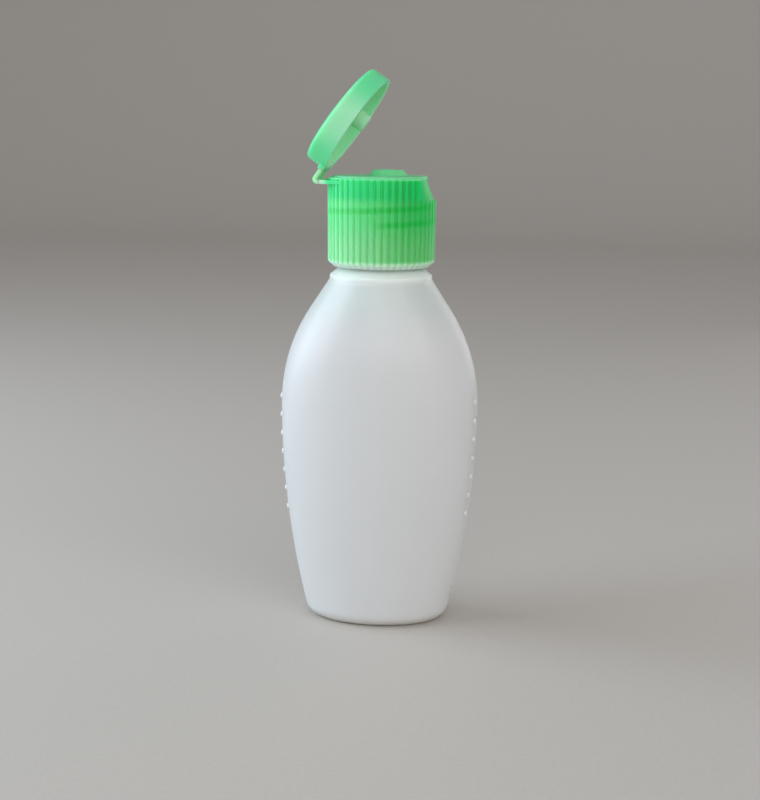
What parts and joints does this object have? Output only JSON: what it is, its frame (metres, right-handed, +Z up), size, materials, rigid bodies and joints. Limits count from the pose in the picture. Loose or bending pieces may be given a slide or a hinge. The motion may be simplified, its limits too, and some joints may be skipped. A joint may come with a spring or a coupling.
{
  "type": "oval plastic bottle",
  "caption": "Oval bottle of milky plastic with a green flip-top screw cap, its lid standing open on a strap hinge.",
  "frame": {"origin": "bottom centre of the bounding box, which is the middle of the bottle's base", "axes": "+Z up along the neck's axis; +X along the oval's long side, away from the strap hinge; +Y towards the back"},
  "size_m": [0.0434, 0.029, 0.1202],
  "materials": {
    "milky_plastic": "satin, milky and see-through",
    "green_plastic": "satin, slightly see-through",
    "liner_plastic": "matt"
  },
  "bodies": {
    "shell": {"bottle": "milky_plastic"},
    "liner": {"sealing_liner": "liner_plastic"},
    "cap": {"cap_body": "green_plastic", "living_hinge": "green_plastic"},
    "lid": {"flip_lid": "green_plastic"}
  },
  "joints": [
    {"name": "cap_lift", "type": "slide", "parent": "shell", "child": "liner", "axis": [0, 0, 1], "range_m": [0, 0.00353]},
    {"name": "cap_turn", "type": "hinge", "parent": "liner", "child": "cap", "pos_m": [0, 0, 0.0905], "axis": [0, 0, 1], "range_deg": [0, 400]},
    {"name": "lid_flip", "type": "hinge", "parent": "cap", "child": "lid", "pos_m": [-0.01317, 0, 0.09771], "axis": [0, -1, 0], "range_deg": [-55, 75], "stiffness_Nm_per_rad": 0.004, "deforming": ["living_hinge"]}
  ],
  "couplings": [
    {"joint": "cap_turn", "follows": "cap_lift", "rad_per_m": 1979}
  ]
}
